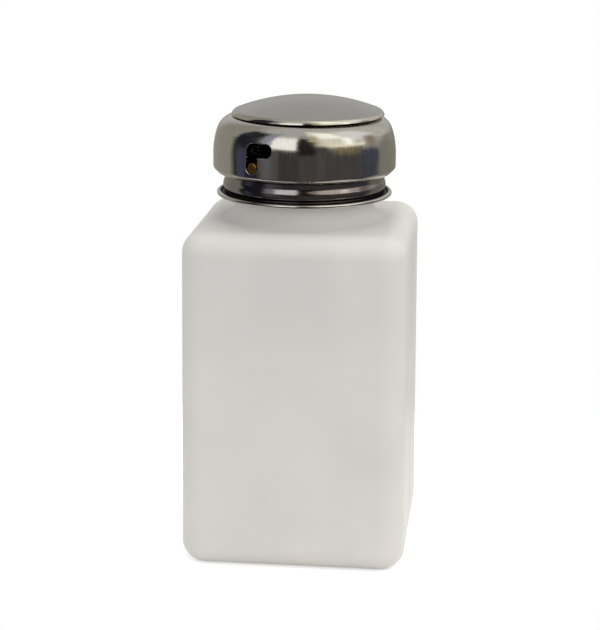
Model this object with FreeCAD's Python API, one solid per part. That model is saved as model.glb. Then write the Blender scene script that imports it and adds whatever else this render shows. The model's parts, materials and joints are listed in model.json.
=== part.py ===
import FreeCAD, Part
import math
import os

# Square pump dispenser bottle with a press head that locks down.
# Millimetres, +Z up, origin at the centre of the base, on the plane that the bottle stands on.
# The head is drawn raised and unlocked: each lock pin is at the foot of its slot.

# Bottle: blow-moulded square body with a threaded neck
BODY_WIDTH = 55.0
BODY_DRAFT = 1.0
BODY_HEIGHT = 84.6
BODY_WALL = 1.4
SIDE_EDGE_RADIUS = 6.2
SHOULDER_EDGE_RADIUS = 5.4
HEEL_RADIUS = 5.2
EDGE_RADIUS_MARGIN = 0.1
STANDING_RING_WIDTH = 5.0
PUSH_UP = 0.8
NECK_RADIUS = 17.5
NECK_WALL = 2.0
NECK_HEIGHT = 14.8
NECK_ROOT_FILLET = 3.2
NECK_RIM_ROUNDING = 0.5

# Screw thread between the neck and the cap, right handed
THREAD_PITCH = 4.23
THREAD_TURNS = 1.25
THREAD_HEIGHT = 1.1
THREAD_ROOT_WIDTH = 1.9
THREAD_CREST_WIDTH = 0.9
THREAD_BELOW_RIM = 1.3
THREAD_ABOVE_FOOT = 0.3
THREAD_CLEARANCE = 0.3
THREAD_EMBED = 0.35

# Screw cap: drawn steel shell, threaded insert, gasket
SHEET = 0.5
CAP_EDGE_RADIUS = 1.2
STEM_HOLE_PLAY = 0.4
WAIST_STEP = 0.5
WAIST_STEP_HEIGHT = 2.4
WAIST_STEP_ABOVE_BEAD = 2.1
TUCK_RADIUS = 2.2
TUCK_ANGLE = 40.0
BRIM_ABOVE_BEAD_FOOT = 0.1
BEAD_RADIUS = 0.55
BEAD_OVERHANG = 1.55
INSERT_WALL = 0.5
INSERT_FOOT_GAP = 0.6
GASKET_THICKNESS = 1.2
GASKET_OVERHANG = 1.0
SEAT_INSET = 0.5
SEAT_PLAY = 0.1
RIM_PLAY = 0.2

# Pump barrel, intake fitting and dip tube
BARREL_BORE_RADIUS = 8.0
BARREL_WALL = 1.4
BARREL_FLANGE_THICKNESS = 1.5
BUSH_LENGTH = 4.5
RUNNING_CLEARANCE = 0.05
VENT_RADIUS = 0.6
FITTING_LENGTH = 4.0
FITTING_FLANGE_THICKNESS = 1.2
CAGE_BOSS_HEIGHT = 3.4
CAGE_HEIGHT = 1.4
CAGE_BAR_HEIGHT = 0.7
CAGE_BAR_WIDTH = 1.4
NIPPLE_LENGTH = 9.0
NIPPLE_WALL = 0.7
TUBE_WALL = 0.8
TUBE_FLOOR_GAP = 2.4
TUBE_END_ANGLE = 30.0

# Check valves: a ball on a 45 degree seat, the same size at the intake and the outlet
BALL_RADIUS = 2.5
BALL_LIFT = 1.2
BALL_SIDE_PLAY = 0.4
BALL_SEAT_GAP = 0.03
BALL_STOP_GAP = 0.2
PORT_RADIUS = 1.7

# Piston, stem and return spring
PRESS_STROKE = 4.4
STEM_WALL = 1.2
PISTON_LENGTH = 6.2
PISTON_TOP_GAP = 0.8
PISTON_FOOT_GAP = 5.4
PISTON_FLOOR = 1.0
STEM_SEAT_DEPTH = 3.2
RING_SECTION_RADIUS = 0.8
RING_GROOVE_WIDTH = 1.8
STOP_PIN_RADIUS = 0.5
STOP_PIN_INSET = 0.2
SPRING_WIRE_RADIUS = 0.55
SPRING_BARREL_GAP = 1.45
SPRING_BOSS_GAP = 0.85
SPRING_TURNS = 6.0
SPRING_STEPS_PER_TURN = 4

# Press collar: polished steel ring with the lock slots
COLLAR_OVERHANG = 2.95
COLLAR_SHEET = 0.6
LIP_GAP = 1.3
LIP_ANGLE = 45.0
LIP_BEND_RADIUS = 0.7
LIP_CLEARANCE = 0.4
COLLAR_WALL_HEIGHT = 4.45
FLANK_DRAW = 0.95
CROWN_HEIGHT = 3.5
CROWN_TURN_RADIUS = 0.9
MOUTH_WALL_DEPTH = 2.1

# Lock: brass pins in the cap, bayonet slots in the collar
PIN_RADIUS = 1.3
PIN_BELOW_DECK = 2.75
PIN_RECESS = 0.15
PIN_INSERT_DEPTH = 0.45
PIN_FOOT_PLAY = 0.15
PIN_SIDE_PLAY = 0.4
PIN_END_ROUNDING = 0.3
PIN_COUNT = 2
SLOT_ABOVE_LIP = 2.1
SLOT_EDGE_ROUNDING = 0.15
LOCK_AZIMUTH = 242.0
LOCK_TWIST = 9.2

# Outlet dish, nozzle nut and floating lid
DISH_SHEET = 0.5
DISH_CLEARANCE = 0.5
DISH_DEPTH = 2.9
DISH_CORNER_RADIUS = 1.2
DISH_RIM_BELOW_TURN = 0.05
NOZZLE_FLANGE_OVERHANG = 2.2
NOZZLE_FLANGE_THICKNESS = 1.4
NOZZLE_WALL = 0.9
NOZZLE_SHANK_LENGTH = 3.0
LID_OVERHANG = 1.95
LID_DOME_RADIUS = 50.0
LID_SHEET = 0.8
LID_RIM_RADIUS = 1.6
LID_RIM_END_ANGLE = 12.0
LID_GAP = 0.12
LID_OFFSET = 0.8
LID_LIFT = 1.5
GUIDE_RADIUS = 1.2
GUIDE_PLAY = 0.1
GUIDE_TIP = 0.5
LID_SEAL_WIDTH = 2.2
LID_SEAL_THICKNESS = 0.8
HUB_OVERHANG = 0.4
HUB_THICKNESS = 0.8
CLIP_GRIP = 0.2
CLIP_SIDE_GAP = 0.2
CLIP_THICKNESS = 0.6

# Radii that two pieces share, from the neck out
neck_bore_radius = NECK_RADIUS - NECK_WALL
seat_radius = NECK_RADIUS - SEAT_INSET
thread_crest_radius = NECK_RADIUS + THREAD_HEIGHT
insert_root_radius = thread_crest_radius + THREAD_CLEARANCE
shell_bore_radius = insert_root_radius + INSERT_WALL
cap_radius = shell_bore_radius + SHEET
foot_radius = cap_radius + WAIST_STEP
bead_centre_radius = foot_radius + BEAD_OVERHANG - BEAD_RADIUS
lip_radius = foot_radius + LIP_GAP
collar_radius = cap_radius + COLLAR_OVERHANG
slot_width = 2 * (PIN_RADIUS + PIN_SIDE_PLAY)
lock_azimuths = [LOCK_AZIMUTH + i * 360.0 / PIN_COUNT for i in range(PIN_COUNT)]

# Radii that two pieces share, from the axis out
guide_bore_radius = GUIDE_RADIUS + LID_OFFSET + GUIDE_PLAY
shank_radius = guide_bore_radius + NOZZLE_WALL
clip_radius = guide_bore_radius + CLIP_GRIP
chamber_radius = BALL_RADIUS + BALL_SIDE_PLAY
stem_bore_radius = max(clip_radius + LID_OFFSET + CLIP_SIDE_GAP, chamber_radius)
stem_radius = stem_bore_radius + STEM_WALL
piston_radius = BARREL_BORE_RADIUS - RUNNING_CLEARANCE
barrel_radius = BARREL_BORE_RADIUS + BARREL_WALL
spring_radius = BARREL_BORE_RADIUS - SPRING_BARREL_GAP - SPRING_WIRE_RADIUS
boss_radius = spring_radius - SPRING_WIRE_RADIUS - SPRING_BOSS_GAP
nipple_radius = PORT_RADIUS + NIPPLE_WALL
tube_radius = nipple_radius + TUBE_WALL

# Heights of the cap, from the shoulder up to the deck and from there down to the bead
body_floor_z = PUSH_UP + BODY_WALL
neck_rim_z = BODY_HEIGHT + NECK_HEIGHT
gasket_top_z = neck_rim_z + GASKET_THICKNESS
deck_z = gasket_top_z + BARREL_FLANGE_THICKNESS
deck_top_z = deck_z + SHEET
pin_z = deck_top_z - PIN_BELOW_DECK
slot_foot_z = pin_z - PIN_RADIUS - PIN_FOOT_PLAY
lip_z = slot_foot_z - SLOT_ABOVE_LIP
bead_z = lip_z - LIP_CLEARANCE - PRESS_STROKE - BEAD_RADIUS
brim_foot_z = bead_z - BEAD_RADIUS + BRIM_ABOVE_BEAD_FOOT
brim_top_z = brim_foot_z + SHEET
insert_foot_z = bead_z + INSERT_FOOT_GAP
thread_rise = THREAD_PITCH * THREAD_TURNS
neck_thread_z = neck_rim_z - THREAD_BELOW_RIM - THREAD_ROOT_WIDTH / 2 - thread_rise
insert_thread_z = insert_foot_z + THREAD_ABOVE_FOOT + THREAD_ROOT_WIDTH / 2

# Heights of the head, from the deck up
dish_z = deck_top_z + PRESS_STROKE + DISH_CLEARANCE
dish_floor_z = dish_z + DISH_SHEET
crown_z = dish_z + DISH_DEPTH
nozzle_top_z = dish_floor_z + NOZZLE_FLANGE_THICKNESS
shank_foot_z = dish_floor_z - NOZZLE_SHANK_LENGTH
clip_top_z = shank_foot_z - LID_LIFT
clip_foot_z = clip_top_z - CLIP_THICKNESS
seal_top_z = nozzle_top_z + LID_SEAL_THICKNESS
lid_rim_z = crown_z + LID_GAP

# Heights of the pump, from the deck down
bush_foot_z = deck_z - BUSH_LENGTH
piston_top_z = bush_foot_z - PISTON_TOP_GAP
piston_foot_z = piston_top_z - PISTON_LENGTH
piston_middle_z = (piston_top_z + piston_foot_z) / 2
stem_foot_z = piston_top_z - STEM_SEAT_DEPTH
cage_top_z = piston_foot_z - PRESS_STROKE - PISTON_FOOT_GAP
boss_top_z = cage_top_z - CAGE_HEIGHT
fitting_top_z = boss_top_z - CAGE_BOSS_HEIGHT
barrel_foot_z = fitting_top_z - FITTING_LENGTH
fitting_foot_z = barrel_foot_z - FITTING_FLANGE_THICKNESS

# Valve seats: the ball's centre and its stop above the foot of the 45 degree cone
seat_height = chamber_radius - PORT_RADIUS
ball_above_seat = (BALL_RADIUS + BALL_SEAT_GAP) * math.sqrt(2) - PORT_RADIUS
stop_above_seat = ball_above_seat + BALL_RADIUS + BALL_LIFT + BALL_STOP_GAP
outlet_seat_z = piston_foot_z + PISTON_FLOOR
intake_stop_z = cage_top_z - CAGE_BAR_HEIGHT
intake_seat_z = intake_stop_z - stop_above_seat

# The cap's waist swells out in two tangent arcs, a hollow one and a round one
step_arc_radius = (WAIST_STEP_HEIGHT**2 + WAIST_STEP**2) / (4 * WAIST_STEP)
step_angle = math.asin(WAIST_STEP_HEIGHT / 2 / step_arc_radius)
step_foot_z = bead_z + WAIST_STEP_ABOVE_BEAD
step_top_z = step_foot_z + WAIST_STEP_HEIGHT
hollow_centre = (cap_radius + step_arc_radius, step_top_z)
round_centre = (foot_radius - step_arc_radius, step_foot_z)

# Below the step it tucks in again, to a short upright wall that the brim stands out from
tuck_centre = (foot_radius - TUCK_RADIUS, step_foot_z)
inner_tuck_radius = TUCK_RADIUS - SHEET
inner_tuck_angle = math.radians(TUCK_ANGLE)
tuck_bore_radius = tuck_centre[0] + inner_tuck_radius * math.cos(inner_tuck_angle)
tuck_angle = math.acos((tuck_bore_radius + SHEET - tuck_centre[0]) / TUCK_RADIUS)

# The collar's lip bends in and runs straight to its edge
lip_angle = math.radians(LIP_ANGLE)
lip_run = collar_radius - lip_radius - LIP_BEND_RADIUS * (1 - math.cos(lip_angle))
lip_top_z = lip_z + LIP_BEND_RADIUS * math.sin(lip_angle) + lip_run / math.tan(lip_angle)
lip_bend_centre = (collar_radius - LIP_BEND_RADIUS, lip_top_z)

# The collar's flank is one arc and its crown another, tangent to it
flank_z = lip_z + COLLAR_WALL_HEIGHT
flank_height = crown_z - CROWN_HEIGHT - flank_z
flank_arc_radius = (flank_height**2 + FLANK_DRAW**2) / (2 * FLANK_DRAW)
flank_angle = math.asin(flank_height / flank_arc_radius)
flank_centre = (collar_radius - flank_arc_radius, flank_z)
crown_arc_radius = CROWN_HEIGHT / (1 - math.sin(flank_angle))
crown_radius = collar_radius - FLANK_DRAW - crown_arc_radius * math.cos(flank_angle)
crown_centre = (crown_radius, crown_z - crown_arc_radius)
turn_centre = (crown_radius, crown_z - CROWN_TURN_RADIUS)
mouth_radius = crown_radius - CROWN_TURN_RADIUS
lid_radius = crown_radius + LID_OVERHANG

UP = FreeCAD.Vector(0, 0, 1)
ORIGIN = FreeCAD.Vector(0, 0, 0)
EIGHTH = math.pi / 4
TOLERANCE = 0.01


def arc_point(centre, radius, angle):
    """A point (radius, height) on an arc, its angle counted from the outward radius."""
    return (centre[0] + radius * math.cos(angle), centre[1] + radius * math.sin(angle))


def outline(start, *steps):
    """A closed face in the plane of radius and height. A step is the next corner, or a pair of
    points: one that an arc passes through, and the next corner."""

    def at(point):
        return FreeCAD.Vector(point[0], 0, point[1])

    edges = []
    here = start
    for step in steps + (start,):
        if isinstance(step[0], tuple):
            middle, corner = step
            edges.append(Part.Arc(at(here), at(middle), at(corner)).toShape())
        else:
            corner = step
            edges.append(Part.LineSegment(at(here), at(corner)).toShape())
        here = corner
    return Part.Face(Part.Wire(edges))


def turned(start, *steps):
    """A solid of revolution about Z."""
    return outline(start, *steps).revolve(ORIGIN, UP, 360)


def tube(outer_radius, inner_radius, low_z, high_z):
    """A ring or sleeve on the Z axis."""
    corners = [(outer_radius, low_z), (outer_radius, high_z), (inner_radius, high_z)]
    return turned((inner_radius, low_z), *corners)


def rod(radius, low_z, high_z):
    """A plain cylinder on the Z axis."""
    return Part.makeCylinder(radius, high_z - low_z, FreeCAD.Vector(0, 0, low_z))


def radial_rod(radius, inner_end, outer_end, z, azimuth=0.0):
    """A cylinder that points straight out from the Z axis."""
    start = FreeCAD.Vector(inner_end, 0, z)
    made = Part.makeCylinder(radius, outer_end - inner_end, start, FreeCAD.Vector(1, 0, 0))
    return spun(made, azimuth)


def spun(shape, degrees):
    """A copy turned about the Z axis."""
    copy = shape.copy()
    copy.rotate(ORIGIN, UP, degrees)
    return copy


def moved(shape, x=0.0, z=0.0):
    """A copy shifted sideways and up."""
    copy = shape.copy()
    copy.translate(FreeCAD.Vector(x, 0, z))
    return copy


def square_block(low_width, high_width, low_z, high_z, side_radius):
    """A square block on the Z axis with rounded upright edges, that may narrow from foot to top."""
    low = low_width / 2
    high = high_width / 2
    block = Part.makeWedge(-low, low_z, -low, -high, -high, low, high_z, low, high, high)
    block.rotate(ORIGIN, FreeCAD.Vector(1, 0, 0), 90)
    upright = [e for e in block.Edges if abs(e.tangentAt(e.FirstParameter).z) > 0.5]
    return block.makeFillet(side_radius, upright)


def body_width(z):
    """The bottle's width at a height: the base is wider than the shoulder by the draft."""
    return BODY_WIDTH + BODY_DRAFT * (1 - z / BODY_HEIGHT)


def edges_at(shape, z):
    """The edges that lie flat at one height."""
    return [e for e in shape.Edges if abs(e.BoundBox.ZMin - z) + abs(e.BoundBox.ZMax - z) < TOLERANCE]


def rounded_body(wall, low_z, high_z, side_radius, low_radius, high_radius):
    """The bottle's body, a wall's thickness in from its skin, with every edge rounded."""
    low_width = body_width(low_z) - 2 * wall
    high_width = body_width(high_z) - 2 * wall
    block = square_block(low_width, high_width, low_z, high_z, side_radius)
    block = block.makeFillet(low_radius, edges_at(block, low_z))
    return block.makeFillet(high_radius, edges_at(block, high_z))


def thread_ridge(root_radius, crest_radius, start_z, azimuth):
    """One tapered ridge wound up the Z axis, its root sunk into the wall that carries it."""
    sunk = math.copysign(THREAD_EMBED, root_radius - crest_radius)
    half_root = THREAD_ROOT_WIDTH / 2
    half_crest = THREAD_CREST_WIDTH / 2
    corners = [
        FreeCAD.Vector(root_radius + sunk, 0, -half_root),
        FreeCAD.Vector(root_radius, 0, -half_root),
        FreeCAD.Vector(crest_radius, 0, -half_crest),
        FreeCAD.Vector(crest_radius, 0, half_crest),
        FreeCAD.Vector(root_radius, 0, half_root),
        FreeCAD.Vector(root_radius + sunk, 0, half_root),
    ]
    section = Part.makePolygon(corners + corners[:1])
    helix = Part.Wire(Part.makeHelix(THREAD_PITCH, thread_rise, root_radius))
    ridge = helix.makePipeShell([section], True, True)
    return spun(moved(ridge, z=start_z), azimuth)


# Bottle


def make_bottle():
    """Hollow square body, neck with its thread, and a push-up that leaves a flat standing ring."""
    heel = min(HEEL_RADIUS, SIDE_EDGE_RADIUS - EDGE_RADIUS_MARGIN)
    shoulder = min(SHOULDER_EDGE_RADIUS, SIDE_EDGE_RADIUS - EDGE_RADIUS_MARGIN)
    body = rounded_body(0, 0, BODY_HEIGHT, SIDE_EDGE_RADIUS, heel, shoulder)
    ceiling_z = BODY_HEIGHT - BODY_WALL
    root_centre = (NECK_RADIUS + NECK_ROOT_FILLET, BODY_HEIGHT + NECK_ROOT_FILLET)
    rim_centre = (NECK_RADIUS - NECK_RIM_ROUNDING, neck_rim_z - NECK_RIM_ROUNDING)
    neck = turned(
        (0, ceiling_z),
        (root_centre[0], ceiling_z),
        (root_centre[0], BODY_HEIGHT),
        (arc_point(root_centre, NECK_ROOT_FILLET, 5 * EIGHTH), (NECK_RADIUS, root_centre[1])),
        (NECK_RADIUS, rim_centre[1]),
        (arc_point(rim_centre, NECK_RIM_ROUNDING, EIGHTH), (rim_centre[0], neck_rim_z)),
        (0, neck_rim_z),
    )
    thread = thread_ridge(NECK_RADIUS, thread_crest_radius, neck_thread_z, 0)
    cavity = rounded_body(
        BODY_WALL,
        body_floor_z,
        ceiling_z,
        SIDE_EDGE_RADIUS - BODY_WALL,
        heel - BODY_WALL,
        shoulder - BODY_WALL,
    )
    bore = rod(neck_bore_radius, ceiling_z - BODY_WALL, neck_rim_z + NECK_WALL)
    recess_width = body_width(0) - 2 * (heel + STANDING_RING_WIDTH)
    recess = square_block(recess_width, recess_width, -PUSH_UP, PUSH_UP, SIDE_EDGE_RADIUS)
    return body.fuse(neck).fuse(thread).cut(cavity).cut(bore).cut(recess).removeSplitter()


# Screw cap: lock pins, shell, insert and gasket


def make_lock_pins():
    """The brass pins, evenly spaced round the cap, with rounded outer ends."""
    outer_end = collar_radius - PIN_RECESS
    pin = radial_rod(PIN_RADIUS, shell_bore_radius - PIN_INSERT_DEPTH, outer_end, pin_z)
    rim = [e for e in pin.Edges if e.BoundBox.XMin > outer_end - TOLERANCE]
    pin = pin.makeFillet(PIN_END_ROUNDING, rim)
    return [spun(pin, azimuth) for azimuth in lock_azimuths]


def drilled_for_pins(shape):
    """The shape with the holes that the lock pins sit in."""
    for pin in make_lock_pins():
        shape = shape.cut(pin)
    return shape


cap_edge_centre = (cap_radius - CAP_EDGE_RADIUS, deck_top_z - CAP_EDGE_RADIUS)
cap_inner_edge_radius = CAP_EDGE_RADIUS - SHEET


def on_step(depth, share):
    """A point at a depth under the step's skin: share 0 is its top, 1 its middle and 2 its foot."""
    if share <= 1:
        return arc_point(hollow_centre, step_arc_radius + depth, math.pi + share * step_angle)
    return arc_point(round_centre, step_arc_radius - depth, (2 - share) * step_angle)


def bead_reach(z):
    """How far in from the middle of its section the bead meets a level."""
    return math.sqrt(BEAD_RADIUS**2 - (z - bead_z) ** 2)


def make_screw_cap_shell():
    """Deck, waist, a soft swell below it, and a narrow brim that ends in a bead."""
    hole_radius = stem_radius + STEM_HOLE_PLAY
    edge_inside = arc_point(cap_edge_centre, cap_inner_edge_radius, EIGHTH)
    edge_outside = arc_point(cap_edge_centre, CAP_EDGE_RADIUS, EIGHTH)
    shell = turned(
        (hole_radius, deck_z),
        (cap_edge_centre[0], deck_z),
        (edge_inside, (shell_bore_radius, cap_edge_centre[1])),
        (shell_bore_radius, step_top_z),
        (on_step(SHEET, 0.5), on_step(SHEET, 1)),
        (on_step(SHEET, 1.5), on_step(SHEET, 2)),
        (
            arc_point(tuck_centre, inner_tuck_radius, -inner_tuck_angle / 2),
            arc_point(tuck_centre, inner_tuck_radius, -inner_tuck_angle),
        ),
        (tuck_bore_radius, brim_foot_z),
        (bead_centre_radius - bead_reach(brim_foot_z), brim_foot_z),
        (
            (bead_centre_radius + BEAD_RADIUS, bead_z),
            (bead_centre_radius - bead_reach(brim_top_z), brim_top_z),
        ),
        (tuck_bore_radius + SHEET, brim_top_z),
        arc_point(tuck_centre, TUCK_RADIUS, -tuck_angle),
        (arc_point(tuck_centre, TUCK_RADIUS, -tuck_angle / 2), (foot_radius, step_foot_z)),
        (on_step(0, 1.5), on_step(0, 1)),
        (on_step(0, 0.5), (cap_radius, step_top_z)),
        (cap_radius, cap_edge_centre[1]),
        (edge_outside, (cap_edge_centre[0], deck_top_z)),
        (hole_radius, deck_top_z),
    )
    return drilled_for_pins(shell)


def make_thread_insert():
    """Sleeve that fills the shell, with the cap's half of the thread and a pocket for the gasket."""
    ledge_z = neck_rim_z + RIM_PLAY
    edge_outside = arc_point(cap_edge_centre, cap_inner_edge_radius, EIGHTH)
    sleeve = turned(
        (insert_root_radius, insert_foot_z),
        (tuck_bore_radius, insert_foot_z),
        arc_point(tuck_centre, inner_tuck_radius, -inner_tuck_angle),
        (arc_point(tuck_centre, inner_tuck_radius, -inner_tuck_angle / 2), on_step(SHEET, 2)),
        (on_step(SHEET, 1.5), on_step(SHEET, 1)),
        (on_step(SHEET, 0.5), (shell_bore_radius, step_top_z)),
        (shell_bore_radius, cap_edge_centre[1]),
        (edge_outside, (cap_edge_centre[0], deck_z)),
        (seat_radius, deck_z),
        (seat_radius, ledge_z),
        (insert_root_radius, ledge_z),
    )
    half_pitch_below_z = neck_thread_z - THREAD_PITCH / 2
    azimuth = 360 * (insert_thread_z - half_pitch_below_z) / THREAD_PITCH
    crest_radius = NECK_RADIUS + THREAD_CLEARANCE
    ridge = thread_ridge(insert_root_radius, crest_radius, insert_thread_z, azimuth)
    return drilled_for_pins(sleeve.fuse(ridge).removeSplitter())


def make_neck_gasket():
    return tube(seat_radius - SEAT_PLAY, neck_bore_radius - GASKET_OVERHANG, neck_rim_z, gasket_top_z)


# Pump barrel and intake


def make_pump_barrel():
    """Flanged cylinder with a vent hole above the piston."""
    flange_radius = seat_radius - SEAT_PLAY
    barrel = turned(
        (BARREL_BORE_RADIUS, barrel_foot_z),
        (barrel_radius, barrel_foot_z),
        (barrel_radius, gasket_top_z),
        (flange_radius, gasket_top_z),
        (flange_radius, deck_z),
        (BARREL_BORE_RADIUS, deck_z),
    )
    vent_z = bush_foot_z - PISTON_TOP_GAP / 2
    return barrel.cut(radial_rod(VENT_RADIUS, 0, barrel_radius + BARREL_WALL, vent_z))


def make_stem_bush():
    return tube(BARREL_BORE_RADIUS, stem_radius + RUNNING_CLEARANCE, bush_foot_z, deck_z)


def make_intake_fitting():
    """Plug for the barrel's foot: nipple, port, valve seat and ball chamber."""
    nipple_foot_z = fitting_foot_z - NIPPLE_LENGTH
    return turned(
        (PORT_RADIUS, nipple_foot_z),
        (nipple_radius, nipple_foot_z),
        (nipple_radius, fitting_foot_z),
        (barrel_radius, fitting_foot_z),
        (barrel_radius, barrel_foot_z),
        (BARREL_BORE_RADIUS, barrel_foot_z),
        (BARREL_BORE_RADIUS, fitting_top_z),
        (boss_radius, fitting_top_z),
        (boss_radius, boss_top_z),
        (chamber_radius, boss_top_z),
        (chamber_radius, intake_seat_z + seat_height),
        (PORT_RADIUS, intake_seat_z),
    )


def make_ball_cage():
    """Ring on the fitting's boss with a bar across it that stops the ball."""
    ring = tube(boss_radius, chamber_radius, boss_top_z, cage_top_z)
    reach = (chamber_radius + boss_radius) / 2
    corner = FreeCAD.Vector(-reach, -CAGE_BAR_WIDTH / 2, intake_stop_z)
    bar = Part.makeBox(2 * reach, CAGE_BAR_WIDTH, CAGE_BAR_HEIGHT, corner)
    return ring.fuse(bar).removeSplitter()


def make_ball(seat_z):
    return Part.makeSphere(BALL_RADIUS, FreeCAD.Vector(0, 0, seat_z + ball_above_seat))


def make_dip_tube():
    """Tube pushed on the nipple, its foot cut on a slant so that it can't seal on the floor."""
    foot_z = body_floor_z + TUBE_FLOOR_GAP
    straight = tube(tube_radius, nipple_radius, foot_z, fitting_foot_z)
    size = 4 * tube_radius
    wedge = Part.makeBox(size, size, size, FreeCAD.Vector(-size / 2, -size / 2, -size))
    wedge.rotate(ORIGIN, FreeCAD.Vector(0, 1, 0), TUBE_END_ANGLE)
    slant_rise = tube_radius * math.tan(math.radians(TUBE_END_ANGLE))
    return straight.cut(moved(wedge, z=foot_z + slant_rise))


# Piston, stem and spring


def make_piston():
    """Piston with a ring groove, a socket for the stem and the outlet valve's seat."""
    groove_radius = piston_radius - 2 * RING_SECTION_RADIUS
    groove_foot_z = piston_middle_z - RING_GROOVE_WIDTH / 2
    groove_top_z = piston_middle_z + RING_GROOVE_WIDTH / 2
    return turned(
        (PORT_RADIUS, piston_foot_z),
        (piston_radius, piston_foot_z),
        (piston_radius, groove_foot_z),
        (groove_radius, groove_foot_z),
        (groove_radius, groove_top_z),
        (piston_radius, groove_top_z),
        (piston_radius, piston_top_z),
        (stem_radius, piston_top_z),
        (stem_radius, stem_foot_z),
        (chamber_radius, stem_foot_z),
        (chamber_radius, outlet_seat_z + seat_height),
        (PORT_RADIUS, outlet_seat_z),
    )


def make_piston_o_ring():
    middle = FreeCAD.Vector(0, 0, piston_middle_z)
    return Part.makeTorus(piston_radius - RING_SECTION_RADIUS, RING_SECTION_RADIUS, middle)


def make_ball_stop_pin():
    """Cross pin in the stem, above the outlet ball."""
    half_length = stem_radius - STOP_PIN_INSET
    z = outlet_seat_z + stop_above_seat + STOP_PIN_RADIUS
    return radial_rod(STOP_PIN_RADIUS, -half_length, half_length, z)


def make_hollow_stem():
    """Tube from the piston to the dish, its top tapped for the nozzle nut's shank."""
    stem = turned(
        (stem_bore_radius, stem_foot_z),
        (stem_radius, stem_foot_z),
        (stem_radius, dish_z),
        (shank_radius, dish_z),
        (shank_radius, shank_foot_z),
        (stem_bore_radius, shank_foot_z),
    )
    return stem.cut(make_ball_stop_pin())


def arc_from(start, tangent, end):
    """The arc that leaves a point along a tangent and ends at another."""
    chord = end - start
    middle = start + chord * 0.5
    turn = tangent.getAngle(chord)
    lean = start + tangent * (chord.Length / 2 / math.cos(turn)) - middle
    lean.normalize()
    bow = lean * (chord.Length / 2 * math.tan(turn / 2))
    return Part.Arc(start, middle + bow, end).toShape()


def biarc(start, start_tangent, end, end_tangent):
    """Two tangent arcs from one point and direction to the next."""
    span = end - start
    along = span.dot(start_tangent + end_tangent)
    spread = 2 * (1 - start_tangent.dot(end_tangent))
    reach = (math.sqrt(along**2 + spread * span.dot(span)) - along) / spread
    joint = (start + end + (start_tangent - end_tangent) * reach) * 0.5
    first = arc_from(start, start_tangent, joint)
    second = arc_from(end, end_tangent * -1, joint)
    return [first, second]


def make_return_spring():
    """Coil between the intake fitting and the piston, drawn at its length with the head raised."""
    low_z = fitting_top_z + SPRING_WIRE_RADIUS
    rise = piston_foot_z - SPRING_WIRE_RADIUS - low_z
    steps = round(SPRING_TURNS * SPRING_STEPS_PER_TURN)
    slope = rise / (2 * math.pi * SPRING_TURNS)

    def place(step):
        angle = 2 * math.pi * step / SPRING_STEPS_PER_TURN
        out = FreeCAD.Vector(math.cos(angle), math.sin(angle), 0)
        side = FreeCAD.Vector(-out.y, out.x, 0)
        tangent = side * spring_radius + UP * slope
        tangent.normalize()
        return out * spring_radius + UP * (low_z + slope * angle), tangent

    edges = []
    for step in range(steps):
        edges += biarc(*place(step), *place(step + 1))
    start, tangent = place(0)
    section = Part.Wire(Part.makeCircle(SPRING_WIRE_RADIUS, start, tangent))
    return Part.Wire(Part.sortEdges(edges)[0]).makePipeShell([section], True)


# Press collar, dish and nozzle


def make_lock_slot():
    """The bayonet cut at azimuth zero: up from the pin, then round to the locked place."""
    half = slot_width / 2
    low_z = slot_foot_z + half
    high_z = pin_z + PRESS_STROKE
    inner_end = cap_radius
    outer_end = collar_radius + slot_width
    corner = FreeCAD.Vector(inner_end, -half, low_z)
    slot = Part.makeBox(outer_end - inner_end, slot_width, high_z - low_z, corner)
    run_corners = [(outer_end, high_z - half), (outer_end, high_z + half), (inner_end, high_z + half)]
    run = outline((inner_end, high_z - half), *run_corners).revolve(ORIGIN, UP, LOCK_TWIST)
    slot = slot.fuse(run)
    for z, azimuth in ((low_z, 0), (high_z, 0), (high_z, LOCK_TWIST)):
        slot = slot.fuse(radial_rod(half, inner_end, outer_end, z, azimuth))
    return slot


def slot_rims(collar, slots):
    """The edges where the slots break through the collar's outer skin."""

    def is_rim(edge):
        middle = edge.valueAt((edge.FirstParameter + edge.LastParameter) / 2)
        rise = max(0, middle.z - flank_z)
        skin_radius = flank_centre[0] + math.sqrt(flank_arc_radius**2 - rise**2)
        if math.hypot(middle.x, middle.y) < skin_radius - COLLAR_SHEET / 2:
            return False
        return any(slot.isInside(middle, TOLERANCE, True) for slot in slots)

    return [edge for edge in collar.Edges if is_rim(edge)]


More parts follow.
